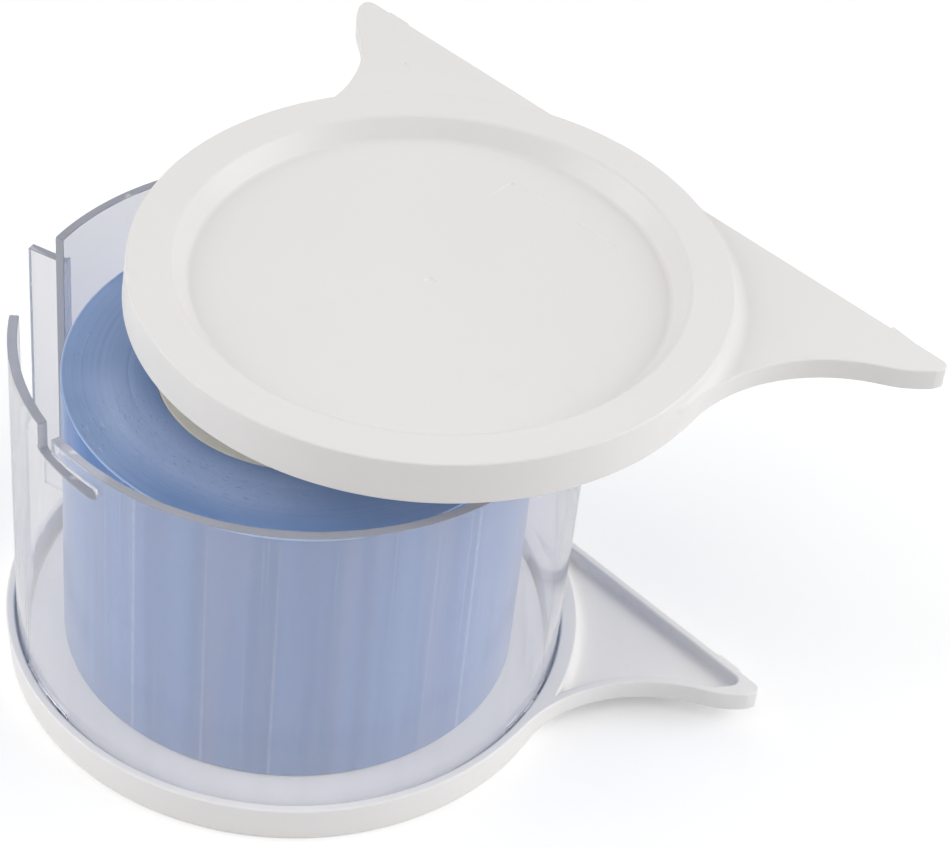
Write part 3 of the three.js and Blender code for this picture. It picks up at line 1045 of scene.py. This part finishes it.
def add_lamp(name, turn, rise, distance, size, power):
    """A soft rectangular lamp, aimed at the object. Its turn is counted from the camera's azimuth."""
    turn = math.radians(CAMERA_AZIMUTH + turn)
    rise = math.radians(rise)
    back = Vector((math.sin(turn) * math.cos(rise), -math.cos(turn) * math.cos(rise), math.sin(rise)))
    data = bpy.data.lights.new(name, "AREA")
    data.shape = "RECTANGLE"
    data.size, data.size_y = size
    data.energy = power
    lamp = bpy.data.objects.new(name, data)
    lamp.matrix_world = Matrix.Translation(roll_axis + back * distance) @ back.to_track_quat(
        "Z", "Y"
    ).to_matrix().to_4x4()
    bpy.context.scene.collection.objects.link(lamp)


def add_floor():
    low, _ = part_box("base_plate")
    outline = circle((0, 0), FLOOR_RADIUS, FLOOR_SEGMENTS)
    floor = stack("floor", outline, [(0, low.z - FLOOR_THICKNESS), (0, low.z - FLOOR_GAP)])
    floor.data.materials.append(floor_material())


def finish_piece(piece, node, body, materials):
    for material in materials:
        piece.data.materials.append(material)
    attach(piece, body)
    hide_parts(node)


def middle(piece):
    corners = np.array([vertex.co for vertex in piece.data.vertices])
    return Vector((corners.min(0) + corners.max(0)) / 2)


def mark_tube_edges(piece):
    """Gives the tube's cut edges the second material, except those down inside the base's rim."""
    for face in piece.data.polygons:
        outward = Vector((face.center.x, face.center.y, 0)).normalized()
        is_edge = abs(face.normal.dot(outward)) < WALL_FACING
        face.material_index = int(is_edge and face.center.z >= RIM_HEIGHT)


def mark_strip_edges(piece):
    """Gives the strip's ends and outer edge the second material."""
    outward = turned_vector(Vector((1, 0)), math.radians(STRIP_ANGLE)).to_3d()
    for face in piece.data.polygons:
        is_end = abs(face.normal.z) > CUT_EDGE_FACING
        face.material_index = int(is_end or face.normal.dot(outward) > CUT_EDGE_FACING)


def mark_roll_ends(piece):
    """Gives the roll's ends the second material."""
    for face in piece.data.polygons:
        face.material_index = int(abs(face.normal.z) > END_FACING)


core_low, core_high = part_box("roll_core")
roll_axis = Vector(((core_low.x + core_high.x) / 2, (core_low.y + core_high.y) / 2, 0))

add_camera()
add_light()
add_floor()

# One plastic in two copies, the base painted lighter and the lid painted darker: painted light and
# shade.
base_plastic = white_plastic("white_plastic_base_painted_lighter", BASE_PAINTED_LIGHT_TONE)
lid_plastic = white_plastic("white_plastic_lid_painted_darker", LID_PAINTED_SHADE_TONE)
acrylic = clear_acrylic()

base_plate = plate_mesh()
base_plate.name = "base_moulding"
base_hub = hub_cup()
base_hub.name = "base_hub_cup"
lid_plate = base_plate.copy()
lid_plate.data = base_plate.data.copy()
lid_plate.name = "lid_moulding"
lid_hub = base_hub.copy()
lid_hub.data = base_hub.data.copy()
lid_hub.name = "lid_hub_cup"
for piece in (lid_plate, lid_hub):
    bpy.context.scene.collection.objects.link(piece)

# The lid is the same plate turned over. It is moved so that its box is the CAD lid's box.
lid_turn = Matrix.Rotation(LID_TWIST, 4, "Z") @ Matrix.Rotation(math.pi + LID_TILT, 4, "Y")
for piece in (lid_plate, lid_hub):
    piece.data.transform(lid_turn)
lid_low, lid_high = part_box("lid_plate")
lid_place = (lid_low + lid_high) / 2 - middle(lid_plate)
for piece, place in (
    (base_plate, roll_axis), (base_hub, roll_axis), (lid_plate, lid_place), (lid_hub, lid_place)
):
    piece.location = place

finish_piece(base_plate, "base_plate", "base", [base_plastic])
finish_piece(base_hub, "base_core_hub", "base", [base_plastic])
finish_piece(lid_plate, "lid_plate", "lid", [lid_plastic])
finish_piece(lid_hub, "lid_core_hub", "lid", [lid_plastic])

cut_edge = acrylic_edge()
tube = clear_tube()
tube.location = roll_axis
finish_piece(tube, "shroud_tube", "shroud", [acrylic, cut_edge])
mark_tube_edges(tube)
strip = guide_strip()
strip.location = roll_axis
finish_piece(strip, "film_guide_strip", "shroud", [acrylic, cut_edge])
mark_strip_edges(strip)

roll = film_roll()
roll.location = roll_axis
finish_piece(roll, "film_roll", "roll", [blue_film(), blue_film_end()])
mark_roll_ends(roll)
core = card_core()
core.location = roll_axis
finish_piece(core, "roll_core", "roll", [core_board()])

bpy.context.scene.view_settings.view_transform = "Standard"
